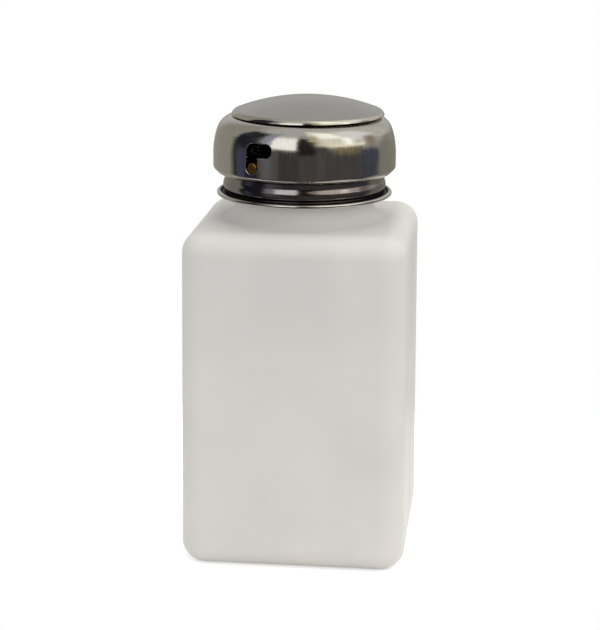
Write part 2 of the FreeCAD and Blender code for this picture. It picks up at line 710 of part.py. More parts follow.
def make_press_collar():
    """Drawn ring: turned-in lip, straight wall, flank, crown and a wall down into the mouth."""
    sheet = COLLAR_SHEET
    flank_middle = flank_angle / 2
    crown_middle = (flank_angle + math.pi / 2) / 2
    turn_middle = 3 * EIGHTH
    mouth_foot_z = crown_z - MOUTH_WALL_DEPTH
    inner_bend_radius = LIP_BEND_RADIUS - sheet
    inner_flank_radius = flank_arc_radius - sheet
    inner_crown_radius = crown_arc_radius - sheet
    inner_turn_radius = CROWN_TURN_RADIUS - sheet
    collar = turned(
        (lip_radius, lip_z),
        arc_point(lip_bend_centre, LIP_BEND_RADIUS, -lip_angle),
        (arc_point(lip_bend_centre, LIP_BEND_RADIUS, -lip_angle / 2), (collar_radius, lip_top_z)),
        (collar_radius, flank_z),
        (
            arc_point(flank_centre, flank_arc_radius, flank_middle),
            arc_point(flank_centre, flank_arc_radius, flank_angle),
        ),
        (arc_point(crown_centre, crown_arc_radius, crown_middle), (crown_radius, crown_z)),
        (arc_point(turn_centre, CROWN_TURN_RADIUS, turn_middle), (mouth_radius, turn_centre[1])),
        (mouth_radius, mouth_foot_z),
        (mouth_radius + sheet, mouth_foot_z),
        (mouth_radius + sheet, turn_centre[1]),
        (arc_point(turn_centre, inner_turn_radius, turn_middle), (crown_radius, crown_z - sheet)),
        (
            arc_point(crown_centre, inner_crown_radius, crown_middle),
            arc_point(crown_centre, inner_crown_radius, flank_angle),
        ),
        (
            arc_point(flank_centre, inner_flank_radius, flank_middle),
            (collar_radius - sheet, flank_z),
        ),
        (collar_radius - sheet, lip_top_z),
        (
            arc_point(lip_bend_centre, inner_bend_radius, -lip_angle / 2),
            arc_point(lip_bend_centre, inner_bend_radius, -lip_angle),
        ),
        (lip_radius, lip_z + sheet / math.sin(lip_angle)),
    )
    slots = [spun(make_lock_slot(), azimuth) for azimuth in lock_azimuths]
    for slot in slots:
        collar = collar.cut(slot)
    return collar.makeFillet(SLOT_EDGE_ROUNDING, slot_rims(collar, slots))


def make_outlet_dish():
    """Shallow cup in the collar's mouth."""
    rim_z = turn_centre[1] - DISH_RIM_BELOW_TURN
    corner_centre = (mouth_radius - DISH_CORNER_RADIUS, dish_z + DISH_CORNER_RADIUS)
    inner_corner_radius = DISH_CORNER_RADIUS - DISH_SHEET
    corner_outside = arc_point(corner_centre, DISH_CORNER_RADIUS, -EIGHTH)
    corner_inside = arc_point(corner_centre, inner_corner_radius, -EIGHTH)
    return turned(
        (shank_radius, dish_z),
        (corner_centre[0], dish_z),
        (corner_outside, (mouth_radius, corner_centre[1])),
        (mouth_radius, rim_z),
        (mouth_radius - DISH_SHEET, rim_z),
        (mouth_radius - DISH_SHEET, corner_centre[1]),
        (corner_inside, (corner_centre[0], dish_floor_z)),
        (shank_radius, dish_floor_z),
    )


def make_nozzle_nut():
    """Hexagon that clamps the dish, with a bored shank down into the stem."""
    size = shank_radius + NOZZLE_FLANGE_OVERHANG
    angles = [math.radians(60 * i) for i in range(7)]
    corners = [FreeCAD.Vector(size * math.cos(a), size * math.sin(a), dish_floor_z) for a in angles]
    hexagon = Part.Face(Part.makePolygon(corners)).extrude(UP * NOZZLE_FLANGE_THICKNESS)
    shank = rod(shank_radius, shank_foot_z, dish_floor_z)
    bore = rod(guide_bore_radius, shank_foot_z, nozzle_top_z)
    return hexagon.fuse(shank).cut(bore).removeSplitter()


# Floating lid: it sits off centre by most of the play of its guide


def make_domed_lid():
    """Spherical cap that rolls over into its rim, cut off flat just before the rim is upright."""
    rim_end = math.radians(LID_RIM_END_ANGLE)
    rim_centre = (
        lid_radius - LID_RIM_RADIUS * math.cos(rim_end),
        lid_rim_z - LID_RIM_RADIUS * math.sin(rim_end),
    )
    reach = LID_DOME_RADIUS - LID_RIM_RADIUS
    rim_start = math.acos(rim_centre[0] / reach)
    dome_centre = (0, rim_centre[1] - reach * math.sin(rim_start))
    dome_middle = (math.pi / 2 + rim_start) / 2
    inner_dome_radius = LID_DOME_RADIUS - LID_SHEET
    inner_rim_radius = LID_RIM_RADIUS - LID_SHEET
    inner_rim_end = math.asin((lid_rim_z - rim_centre[1]) / inner_rim_radius)
    lid = turned(
        (0, dome_centre[1] + LID_DOME_RADIUS),
        (
            arc_point(dome_centre, LID_DOME_RADIUS, dome_middle),
            arc_point(dome_centre, LID_DOME_RADIUS, rim_start),
        ),
        (arc_point(rim_centre, LID_RIM_RADIUS, (rim_start + rim_end) / 2), (lid_radius, lid_rim_z)),
        arc_point(rim_centre, inner_rim_radius, inner_rim_end),
        (
            arc_point(rim_centre, inner_rim_radius, (rim_start + inner_rim_end) / 2),
            arc_point(rim_centre, inner_rim_radius, rim_start),
        ),
        (
            arc_point(dome_centre, inner_dome_radius, dome_middle),
            (0, dome_centre[1] + inner_dome_radius),
        ),
    )
    return moved(lid, x=LID_OFFSET)


def make_lid_guide_pin(lid):
    """Pin from the lid's underside down through the nozzle, with a hub that presses on the seal."""
    pin = rod(GUIDE_RADIUS, clip_foot_z - GUIDE_TIP, lid_rim_z + lid_radius)
    hub_radius = GUIDE_RADIUS + LID_SEAL_WIDTH + HUB_OVERHANG
    hub = rod(hub_radius, seal_top_z, seal_top_z + HUB_THICKNESS)
    blank = moved(pin.fuse(hub).removeSplitter(), x=LID_OFFSET)
    return min(blank.cut(lid).Solids, key=lambda solid: solid.BoundBox.ZMin)


def make_lid_seal():
    return moved(tube(GUIDE_RADIUS + LID_SEAL_WIDTH, GUIDE_RADIUS, nozzle_top_z, seal_top_z), x=LID_OFFSET)


def make_lid_clip():
    """Open ring on the guide pin that meets the nozzle's shank when the lid is full up."""
    ring = tube(clip_radius, GUIDE_RADIUS, clip_foot_z, clip_top_z)
    corner = FreeCAD.Vector(0, -GUIDE_RADIUS / 2, clip_foot_z)
    opening = Part.makeBox(clip_radius, GUIDE_RADIUS, CLIP_THICKNESS, corner)
    return moved(ring.cut(opening), x=LID_OFFSET)


def make_nodes():
    """Every sub-part by its name."""
    lid = make_domed_lid()
    nodes = {
        "bottle": make_bottle(),
        "neck_gasket": make_neck_gasket(),
        "screw_cap_shell": make_screw_cap_shell(),
        "thread_insert": make_thread_insert(),
        "pump_barrel": make_pump_barrel(),
        "stem_bush": make_stem_bush(),
        "intake_fitting": make_intake_fitting(),
        "intake_ball": make_ball(intake_seat_z),
        "ball_cage": make_ball_cage(),
        "dip_tube": make_dip_tube(),
        "return_spring": make_return_spring(),
        "piston": make_piston(),
        "piston_o_ring": make_piston_o_ring(),
        "outlet_ball": make_ball(outlet_seat_z),
        "ball_stop_pin": make_ball_stop_pin(),
        "hollow_stem": make_hollow_stem(),
        "press_collar": make_press_collar(),
        "outlet_dish": make_outlet_dish(),
        "nozzle_nut": make_nozzle_nut(),
        "domed_lid": lid,
        "lid_guide_pin": make_lid_guide_pin(lid),
        "lid_seal": make_lid_seal(),
        "lid_clip": make_lid_clip(),
    }
    for i, pin in enumerate(make_lock_pins()):
        nodes[f"lock_pin_{i + 1}"] = pin
    return nodes


os.makedirs("parts", exist_ok=True)
for name, shape in make_nodes().items():
    shape.exportStep(os.path.join("parts", name + ".step"))
    state = "valid" if shape.isValid() else "not valid"
    print(f"{name}: {len(shape.Solids)} solid, {shape.Volume:.2f} mm3, {state}")
print(f"bead {bead_z:.2f}, lip {lip_z:.2f}, deck {deck_top_z:.2f}, crown {crown_z:.2f}")
print(f"collar {collar_radius:.2f}, mouth {mouth_radius:.2f}, lid {lid_radius:.2f}")
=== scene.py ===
import json
import math

import bmesh
import bpy
from mathutils import Matrix, Vector


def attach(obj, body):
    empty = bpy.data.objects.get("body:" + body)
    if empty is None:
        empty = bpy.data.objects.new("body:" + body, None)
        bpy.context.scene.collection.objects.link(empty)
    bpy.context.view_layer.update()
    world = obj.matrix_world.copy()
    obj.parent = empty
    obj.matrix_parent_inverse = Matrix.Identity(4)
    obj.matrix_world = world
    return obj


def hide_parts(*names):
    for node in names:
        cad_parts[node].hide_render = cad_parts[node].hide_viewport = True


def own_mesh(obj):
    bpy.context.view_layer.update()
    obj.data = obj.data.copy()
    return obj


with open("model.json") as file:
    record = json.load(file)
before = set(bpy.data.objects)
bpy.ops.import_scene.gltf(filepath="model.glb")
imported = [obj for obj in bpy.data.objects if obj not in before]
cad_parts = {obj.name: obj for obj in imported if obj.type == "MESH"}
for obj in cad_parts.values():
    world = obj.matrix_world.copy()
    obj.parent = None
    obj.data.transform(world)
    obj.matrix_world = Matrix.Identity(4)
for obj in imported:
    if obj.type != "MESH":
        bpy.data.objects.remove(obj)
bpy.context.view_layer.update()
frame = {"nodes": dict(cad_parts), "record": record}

# Pump bottle with a press head: finishes, studio and camera.
# Metres, +Z up, the origin at the centre of the base, as in the frame.

MM = 0.001
WHITE = (1.0, 1.0, 1.0, 1.0)

# Camera: its place round the bottle, how it is aimed and how long its lens is
IMAGE_HEIGHT_PX = 630
SENSOR_MM = 36.0
FOCAL_PX = 1948.05
CAMERA_DISTANCE = 482.61 * MM
CAMERA_HEIGHT = 181.75 * MM
CAMERA_AZIMUTH = 0.10946
CAMERA_PITCH = 0.24956
CAMERA_PAN = -0.00195
CAMERA_ROLL = 0.00512
CAMERA_CLIP_START = 0.01

# Bottle: milky plastic, with painted shade where the pump hangs behind the wall, and at half strength
# across the upper faces up to the shoulder.
# A pair of lengths is where a soft change begins and where it ends.
WALL_DARK = (0.668, 0.650, 0.620, 1)
WALL_LIGHT = (0.698, 0.677, 0.641, 1)
WALL_CLOUD = 18 * MM
WALL_WAVE = 12 * MM
WALL_WAVE_DEPTH = 0.08 * MM
FROST_SIZE = 0.35 * MM
FROST_DEPTH = 0.02 * MM
# Painted shade: a darker colour standing in for the pump's shadow through the wall and the shade below the
# shoulder
PAINTED_PUMP_SHADE = (0.612, 0.607, 0.580, 1)
PAINTED_SHADE_SIDE = (14 * MM, 6 * MM)
PAINTED_SHADE_SIDE_SHARE = 0.5
PAINTED_SHADE_FOOT = (44 * MM, 72 * MM)
PAINTED_SHADE_TOP = (84 * MM, 79 * MM)

# Polished steel of the collar and the cap: upright streaks and faint smears
STEEL_DARK = (0.50, 0.48, 0.455, 1)
STEEL_LIGHT = (0.69, 0.67, 0.64, 1)
STEEL_ROUGHNESS = (0.08, 0.14)
STREAK_SIZE = 0.5 * MM
STREAK_STRETCH = (1.0, 1.0, 0.025)
STREAK_DEPTH = 0.001 * MM
SMEAR_SIZE = 8 * MM

# The cap's steel: darker than the collar's, lighter on the bead, and with painted shade in the groove
# between the waist and the bead
CAP_STEEL_DARK = (0.27, 0.25, 0.255, 1)
CAP_STEEL_LIGHT = (0.40, 0.375, 0.375, 1)
BEAD_DARK = (0.58, 0.56, 0.54, 1)
BEAD_LIGHT = (0.74, 0.72, 0.69, 1)
# Painted shade: the groove between the waist and the bead is coloured near black
PAINTED_GROOVE_SHADE = (0.012, 0.011, 0.011, 1)
GROOVE_ROUGHNESS = 0.5
BEAD_TOP = (91.75 * MM, 91.35 * MM)
BEAD_INSIDE = (21.15 * MM, 21.4 * MM)
GROOVE_SHADE_OUTSIDE = (21.3 * MM, 21.05 * MM)

# Satin steel of the lid: a one-way grain, and a smoother rim round the lid's own axis with a painted cream
# highlight
SATIN_DARK = (0.455, 0.442, 0.420, 1)
SATIN_LIGHT = (0.558, 0.545, 0.520, 1)
SATIN_GRAIN = 0.9 * MM
SATIN_GRAIN_STRETCH = (0.02, 1.0, 1.0)
SATIN_GRAIN_DEPTH = 0.0015 * MM
SATIN_SMEAR = 9 * MM
SATIN_SMEAR_STRETCH = (0.5, 1.0, 1.0)
LID_AXIS_X = 0.8 * MM
LID_RIM = (18.3 * MM, 18.9 * MM)
# Painted highlight: the rim's lighter, creamy colour
LID_RIM_PAINTED_HIGHLIGHT = (0.66, 0.63, 0.58, 1)
LID_RIM_ROUGHNESS_SHARE = 0.5

# Plain steel and brass of the small pieces
PLAIN_DARK = (0.46, 0.45, 0.43, 1)
PLAIN_LIGHT = (0.56, 0.55, 0.53, 1)
PLAIN_MOTTLE = 1.2 * MM
BRASS_BRIGHT = (0.60, 0.31, 0.075, 1)
BRASS_DULL = (0.31, 0.14, 0.035, 1)
TARNISH_SIZE = 0.9 * MM
TARNISH_RANGE = (0.35, 0.7)
TARNISH_DEPTH = 0.004 * MM

# Mouldings: two shades, the roughness and the share of light that soaks in
MOULDINGS = {
    "white_plastic": ((0.72, 0.72, 0.70, 1), (0.66, 0.66, 0.64, 1), 0.40, 0.2),
    "tube_plastic": ((0.62, 0.64, 0.62, 1), (0.56, 0.58, 0.56, 1), 0.30, 0.4),
    "seal_rubber": ((0.030, 0.030, 0.032, 1), (0.045, 0.045, 0.047, 1), 0.60, 0.0),
}
MOULDING_CLOUD = 4 * MM
MOULDING_SKIN = 0.3 * MM
MOULDING_SKIN_DEPTH = 0.006 * MM
MOULDING_ROUGHNESS_SPREAD = 0.06
MOULDING_SOAK_DEPTH = 0.6 * MM

# Noise stays mostly between these two values
NOISE_RANGE = (0.3, 0.7)


class Tree:
    """A node tree with short names for what the materials use."""

    def __init__(self, tree):
        self.nodes = tree.nodes
        self.links = tree.links
        self.nodes.clear()

    def add(self, kind, **settings):
        node = self.nodes.new(kind)
        for name, value in settings.items():
            setattr(node, name, value)
        return node

    def put(self, socket, value):
        """Link a socket, or set a constant on it."""
        if isinstance(value, bpy.types.NodeSocket):
            self.links.new(value, socket)
        else:
            socket.default_value = value

    def put_all(self, shader, values):
        """Link or set several inputs of a shader by their names."""
        for name, value in values.items():
            self.put(shader.inputs[name], value)

    def math(self, operation, first, second=0.0):
        node = self.add("ShaderNodeMath", operation=operation)
        self.put(node.inputs[0], first)
        self.put(node.inputs[1], second)
        return node.outputs[0]

    def product(self, first, *others):
        """All the values multiplied."""
        for other in others:
            first = self.math("MULTIPLY", first, other)
        return first

    def between(self, value, low, high, low_out=0.0, high_out=1.0, smooth=True):
        """A value that runs from low_out to high_out as the input goes from low to high."""
        node = self.add("ShaderNodeMapRange")
        node.interpolation_type = "SMOOTHSTEP" if smooth else "LINEAR"
        self.put(node.inputs["Value"], value)
        self.put(node.inputs["From Min"], low)
        self.put(node.inputs["From Max"], high)
        self.put(node.inputs["To Min"], low_out)
        self.put(node.inputs["To Max"], high_out)
        return node.outputs["Result"]

    def vary(self, noise, low_out=0.0, high_out=1.0):
        """A value that runs from low_out to high_out with a noise."""
        return self.between(noise, *NOISE_RANGE, low_out, high_out)

    def mix(self, share, first, second):
        node = self.add("ShaderNodeMix", data_type="RGBA")
        self.put(node.inputs["Factor"], share)
        self.put(node.inputs[6], first)
        self.put(node.inputs[7], second)
        return node.outputs[2]

    def place(self, stretch=(1.0, 1.0, 1.0)):
        """Coordinates that ride with the piece, in metres, stretched for streaks."""
        coordinates = self.add("ShaderNodeTexCoord")
        mapping = self.add("ShaderNodeMapping")
        self.put(mapping.inputs["Vector"], coordinates.outputs["Object"])
        self.put(mapping.inputs["Scale"], stretch)
        return mapping.outputs["Vector"]

    def split(self, vector):
        """The x, y and z of a vector."""
        node = self.add("ShaderNodeSeparateXYZ")
        self.put(node.inputs[0], vector)
        return node.outputs

    def axes(self):
        """The piece's own x, y and z in metres."""
        return self.split(self.place())

    def radius(self, axis_x=0.0):
        """Distance from an upright axis that stands at axis_x."""
        x, y, z = self.axes()
        x = self.math("SUBTRACT", x, axis_x)
        return self.math("SQRT", self.math("ADD", self.product(x, x), self.product(y, y)))

    def noise(self, size, detail=3.0, stretch=(1.0, 1.0, 1.0)):
        """Soft noise whose blotches are about size metres across."""
        node = self.add("ShaderNodeTexNoise")
        self.put(node.inputs["Vector"], self.place(stretch))
        self.put(node.inputs["Scale"], 1.0 / size)
        self.put(node.inputs["Detail"], detail)
        return node.outputs["Fac"]

    def bump(self, height, depth, normal=None):
        node = self.add("ShaderNodeBump")
        self.put(node.inputs["Height"], height)
        self.put(node.inputs["Distance"], depth)
        if normal is not None:
            self.put(node.inputs["Normal"], normal)
        return node.outputs["Normal"]


def new_material(name):
    """A material with one principled shader. Returns the material, its tree and the shader."""
    material = bpy.data.materials.new(name)
    material.use_nodes = True
    tree = Tree(material.node_tree)
    shader = tree.add("ShaderNodeBsdfPrincipled")
    output = tree.add("ShaderNodeOutputMaterial")
    tree.links.new(shader.outputs[0], output.inputs["Surface"])
    return material, tree, shader


def frosted_hdpe():
    """Milky blow-moulded plastic: light soaks into the wall, the skin has a fine frost, and shade is
    painted where the pump hangs and below the shoulder.
    """
    material, tree, shader = new_material("frosted_hdpe")
    wall = tree.mix(tree.vary(tree.noise(WALL_CLOUD, 2.0)), WALL_DARK, WALL_LIGHT)
    x, y, z = tree.axes()
    aside = tree.math("MINIMUM", tree.math("ABSOLUTE", x), tree.math("ABSOLUTE", y))
    # Painted shade: darker where the pump hangs behind the wall, and half as dark across the upper faces
    # below the shoulder
    painted_shade = tree.product(
        tree.between(aside, *PAINTED_SHADE_SIDE, PAINTED_SHADE_SIDE_SHARE, 1.0),
        tree.between(z, *PAINTED_SHADE_FOOT),
        tree.between(z, *PAINTED_SHADE_TOP),
    )
    frost = tree.noise(FROST_SIZE, 2.0)
    waves = tree.bump(tree.noise(WALL_WAVE, 1.0), WALL_WAVE_DEPTH)
    tree.put_all(shader, {
        "Base Color": tree.mix(painted_shade, wall, PAINTED_PUMP_SHADE),
        "Roughness": tree.vary(frost, 0.46, 0.56),
        "Specular IOR Level": 0.35,
        "Subsurface Weight": 0.6,
        "Subsurface Radius": (1.0, 0.95, 0.85),
        "Subsurface Scale": 1.6 * MM,
        "Normal": tree.bump(frost, FROST_DEPTH, waves),
    })
    return material


def buffing(tree):
    """The streaks and the smears that buffing leaves on drawn steel."""
    return tree.noise(STREAK_SIZE, 4.0, STREAK_STRETCH), tree.noise(SMEAR_SIZE, 2.0)


def polished_steel():
    """Drawn and buffed stainless sheet with upright polishing streaks and faint smears."""
    material, tree, shader = new_material("polished_steel")
    streaks, smears = buffing(tree)
    tree.put_all(shader, {
        "Base Color": tree.mix(streaks, STEEL_DARK, STEEL_LIGHT),
        "Metallic": 1.0,
        "Roughness": tree.product(tree.vary(smears, *STEEL_ROUGHNESS), tree.vary(streaks, 0.7, 1.3)),
        "Normal": tree.bump(streaks, STREAK_DEPTH),
    })
    return material


def cap_steel_painted_groove_shade():
    """The cap's steel: darker on the waist, lighter on the bead, and painted shade in the groove between
    them.
    """
    material, tree, shader = new_material("cap_steel_painted_groove_shade")
    streaks, smears = buffing(tree)
    cap_steel = tree.mix(streaks, CAP_STEEL_DARK, CAP_STEEL_LIGHT)
    bead_steel = tree.mix(streaks, BEAD_DARK, BEAD_LIGHT)
    radius = tree.radius()
    low = tree.between(tree.axes()[2], *BEAD_TOP)
    bead = tree.product(low, tree.between(radius, *BEAD_INSIDE))
    # Painted shade: near black in the groove between the waist and the bead
    groove_shade = tree.product(low, tree.between(radius, *GROOVE_SHADE_OUTSIDE))
    roughness = tree.vary(smears, *STEEL_ROUGHNESS)
    tree.put_all(shader, {
        "Base Color": tree.mix(groove_shade, tree.mix(bead, cap_steel, bead_steel), PAINTED_GROOVE_SHADE),
        "Metallic": 1.0,
        "Roughness": tree.math("MAXIMUM", roughness, tree.product(groove_shade, GROOVE_ROUGHNESS)),
        "Normal": tree.bump(streaks, STREAK_DEPTH),
    })
    return material


def satin_steel():
    """Stainless sheet with a fine one-way satin grain, and a smoother rim with a painted highlight."""
    material, tree, shader = new_material("satin_steel")
    grain = tree.noise(SATIN_GRAIN, 3.0, SATIN_GRAIN_STRETCH)
    smears = tree.noise(SATIN_SMEAR, 2.0, SATIN_SMEAR_STRETCH)
    # Painted highlight: the rim is coloured lighter and creamy; it is also made smoother
    rim_with_painted_highlight = tree.between(tree.radius(LID_AXIS_X), *LID_RIM)
    sheet = tree.mix(grain, SATIN_DARK, SATIN_LIGHT)
    roughness = tree.product(
        tree.vary(smears, 0.23, 0.29),
        tree.vary(grain, 0.8, 1.2),
        tree.between(rim_with_painted_highlight, 0.0, 1.0, 1.0, LID_RIM_ROUGHNESS_SHARE),
    )
    tree.put_all(shader, {
        "Base Color": tree.mix(rim_with_painted_highlight, sheet, LID_RIM_PAINTED_HIGHLIGHT),
        "Metallic": 1.0,
        "Roughness": roughness,
        "Normal": tree.bump(grain, SATIN_GRAIN_DEPTH),
    })
    return material


def plain_steel():
    """Unpolished stainless wire, balls and small turned pieces."""
    material, tree, shader = new_material("plain_steel")
    mottle = tree.noise(PLAIN_MOTTLE, 3.0)
    tree.put_all(shader, {
        "Base Color": tree.mix(mottle, PLAIN_DARK, PLAIN_LIGHT),
        "Metallic": 1.0,
        "Roughness": tree.vary(mottle, 0.22, 0.34),
    })
    return material


def brass():
    """Turned brass with a little tarnish."""
    material, tree, shader = new_material("brass")
    tarnish = tree.noise(TARNISH_SIZE, 3.0)
    share = tree.between(tarnish, *TARNISH_RANGE)
    tree.put_all(shader, {
        "Base Color": tree.mix(share, BRASS_BRIGHT, BRASS_DULL),
        "Metallic": 1.0,
        "Roughness": tree.vary(tarnish, 0.22, 0.40),
        "Normal": tree.bump(tarnish, TARNISH_DEPTH),
    })
    return material


def moulded_plastic(name, light, dark, roughness, soak):
    """A moulded plastic or rubber: a slightly cloudy colour and a fine matte skin."""
    material, tree, shader = new_material(name)
    clouds = tree.noise(MOULDING_CLOUD, 2.0)
    skin = tree.noise(MOULDING_SKIN, 2.0)
    smooth = roughness - MOULDING_ROUGHNESS_SPREAD
    rough = roughness + MOULDING_ROUGHNESS_SPREAD
    tree.put_all(shader, {
        "Base Color": tree.mix(clouds, light, dark),
        "Roughness": tree.vary(skin, smooth, rough),
        "Subsurface Weight": soak,
        "Subsurface Scale": MOULDING_SOAK_DEPTH,
        "Normal": tree.bump(skin, MOULDING_SKIN_DEPTH),
    })
    return material


# Finishes by slot, and the one node with a finish of its own: the cap's darker steel with painted shade in
# its groove
FINISHES = {
    "frosted_hdpe": frosted_hdpe(),
    "polished_steel": polished_steel(),
    "satin_steel": satin_steel(),
    "plain_steel": plain_steel(),
    "brass": brass(),
}
for moulding, look in MOULDINGS.items():
    FINISHES[moulding] = moulded_plastic(moulding, *look)
NODE_FINISHES = {"screw_cap_shell": cap_steel_painted_groove_shade()}


def dress_frame():
    """Give every node of the frame its own finish, or the finish of its slot in the record."""
    for entry in frame["record"]["subparts"]:
        node = frame["nodes"][entry["node"]]
        finish = NODE_FINISHES.get(entry["node"], FINISHES[entry["material_slot"]])
        node.data.materials.clear()
        node.data.materials.append(finish)


dress_frame()


def build_spring():
    """A copy of the coil that rides with the screw cap, in place of the frame's own coil."""
    spring = bpy.data.objects.new("spring_coil", frame["nodes"]["return_spring"].data.copy())
    bpy.context.scene.collection.objects.link(spring)
    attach(spring, "screw_cap")
    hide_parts("return_spring")
    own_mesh(spring)


build_spring()

# Mould seam: a fine ridge where the two halves of the bottle's mould met, and the pinched line below.
# An arc of its path has a centre (x, z) and a radius in millimetres, and two angles in degrees.
SEAM_WIDTH = 0.30 * MM
SEAM_HEIGHT = 0.04 * MM
SEAM_SUNK = 0.15 * MM
SEAM_STEP = 5.0
HEEL_ARC = ((22.769, 5.2), 5.2, (-72.0, 0.0))
SHOULDER_ARC = ((22.132, 79.2), 5.4, (0.0, 20.0))
RIDGE_FOOT = 0.5
RIDGE_CREST = 0.16
PINCH_HALF_LENGTH = 16.5
PINCH_RAMP = 1.0
PINCH_HEIGHT = 0.22 * MM
BASE_RECESS = 0.8


def arc_path(arc):
    """Points (x, z) along an arc in millimetres, each with the direction that points out of the wall."""
    (centre_x, centre_z), radius, (first, last) = arc
    count = max(2, round(abs(last - first) / SEAM_STEP))
    path = []
    for i in range(count + 1):
        angle = math.radians(first + (last - first) * i / count)
        x, z = math.cos(angle), math.sin(angle)
        path.append(((centre_x + radius * x, centre_z + radius * z), (x, z)))
    return path


def build_ridge(name, path, height, side):
    """A low ridge along a path in the plane of x and z, that sinks into the wall at both ends."""
    vertices = []
    for i, ((x, z), (out_x, out_z)) in enumerate(path):
        crest = -SEAM_SUNK / 2 if i in (0, len(path) - 1) else height
        profile = (
            (-RIDGE_FOOT, -SEAM_SUNK),
            (-RIDGE_CREST, crest),
            (RIDGE_CREST, crest),
            (RIDGE_FOOT, -SEAM_SUNK),
        )
        for y, lift in profile:
            place = (x * MM + out_x * lift, y * SEAM_WIDTH, z * MM + out_z * lift)
            vertices.append((side * place[0], side * place[1], place[2]))
    faces = [(3, 2, 1, 0)]
    for i in range(len(path) - 1):
        for k in range(4):
            here, beside = 4 * i + k, 4 * i + (k + 1) % 4
            faces.append((here, beside, beside + 4, here + 4))
    last = 4 * (len(path) - 1)
    faces.append((last, last + 1, last + 2, last + 3))
    mesh = bpy.data.meshes.new(name)
    mesh.from_pydata(vertices, [], faces)
    work = bmesh.new()
    work.from_mesh(mesh)
    bmesh.ops.recalc_face_normals(work, faces=work.faces)
    work.to_mesh(mesh)
    work.free()
    mesh.materials.append(FINISHES["frosted_hdpe"])
    ridge = bpy.data.objects.new(name, mesh)
    bpy.context.scene.collection.objects.link(ridge)
    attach(ridge, "bottle")


seam = arc_path(HEEL_ARC) + arc_path(SHOULDER_ARC)
build_ridge("mould_seam_right", seam, SEAM_HEIGHT, 1)
build_ridge("mould_seam_left", seam, SEAM_HEIGHT, -1)
pinch_flat = PINCH_HALF_LENGTH - PINCH_RAMP
pinch_places = (-PINCH_HALF_LENGTH, -pinch_flat, pinch_flat, PINCH_HALF_LENGTH)
pinch = [((x, BASE_RECESS), (0.0, -1.0)) for x in pinch_places]
build_ridge("pinch_off", pinch, PINCH_HEIGHT, 1)

# Studio floor: a white board that keeps the bottle's shadow
FLOOR_HALF_WIDTH = 0.085
FLOOR_FRONT = 0.045
FLOOR_BACK = 0.11
FLOOR_COLOUR = (0.86, 0.86, 0.85, 1.0)
FLOOR_FIBRE_COLOUR = (0.88, 0.88, 0.87, 1.0)
FLOOR_FIBRE = 2 * MM
FLOOR_GLOW = 0.42


def build_floor():
    """A white board under the bottle."""
    points = [
        (-FLOOR_HALF_WIDTH, -FLOOR_FRONT, 0.0),
        (FLOOR_HALF_WIDTH, -FLOOR_FRONT, 0.0),
        (FLOOR_HALF_WIDTH, FLOOR_BACK, 0.0),
        (-FLOOR_HALF_WIDTH, FLOOR_BACK, 0.0),
    ]
    mesh = bpy.data.meshes.new("studio_floor")
    mesh.from_pydata(points, [], [(0, 1, 2, 3)])
    floor = bpy.data.objects.new("studio_floor", mesh)
    bpy.context.scene.collection.objects.link(floor)

    material, tree, shader = new_material("studio_floor")
    fibres = tree.noise(FLOOR_FIBRE, 2.0)
    path = tree.add("ShaderNodeLightPath")
    seen = tree.math("MAXIMUM", path.outputs["Is Camera Ray"], path.outputs["Is Glossy Ray"])
    seen = tree.math("MAXIMUM", seen, path.outputs["Is Transmission Ray"])
    tree.put_all(shader, {
        "Base Color": tree.mix(fibres, FLOOR_COLOUR, FLOOR_FIBRE_COLOUR),
        "Roughness": 0.9,
        "Specular IOR Level": 0.0,
        "Emission Color": WHITE,
        "Emission Strength": tree.product(seen, FLOOR_GLOW),
    })
    mesh.materials.append(material)


build_floor()

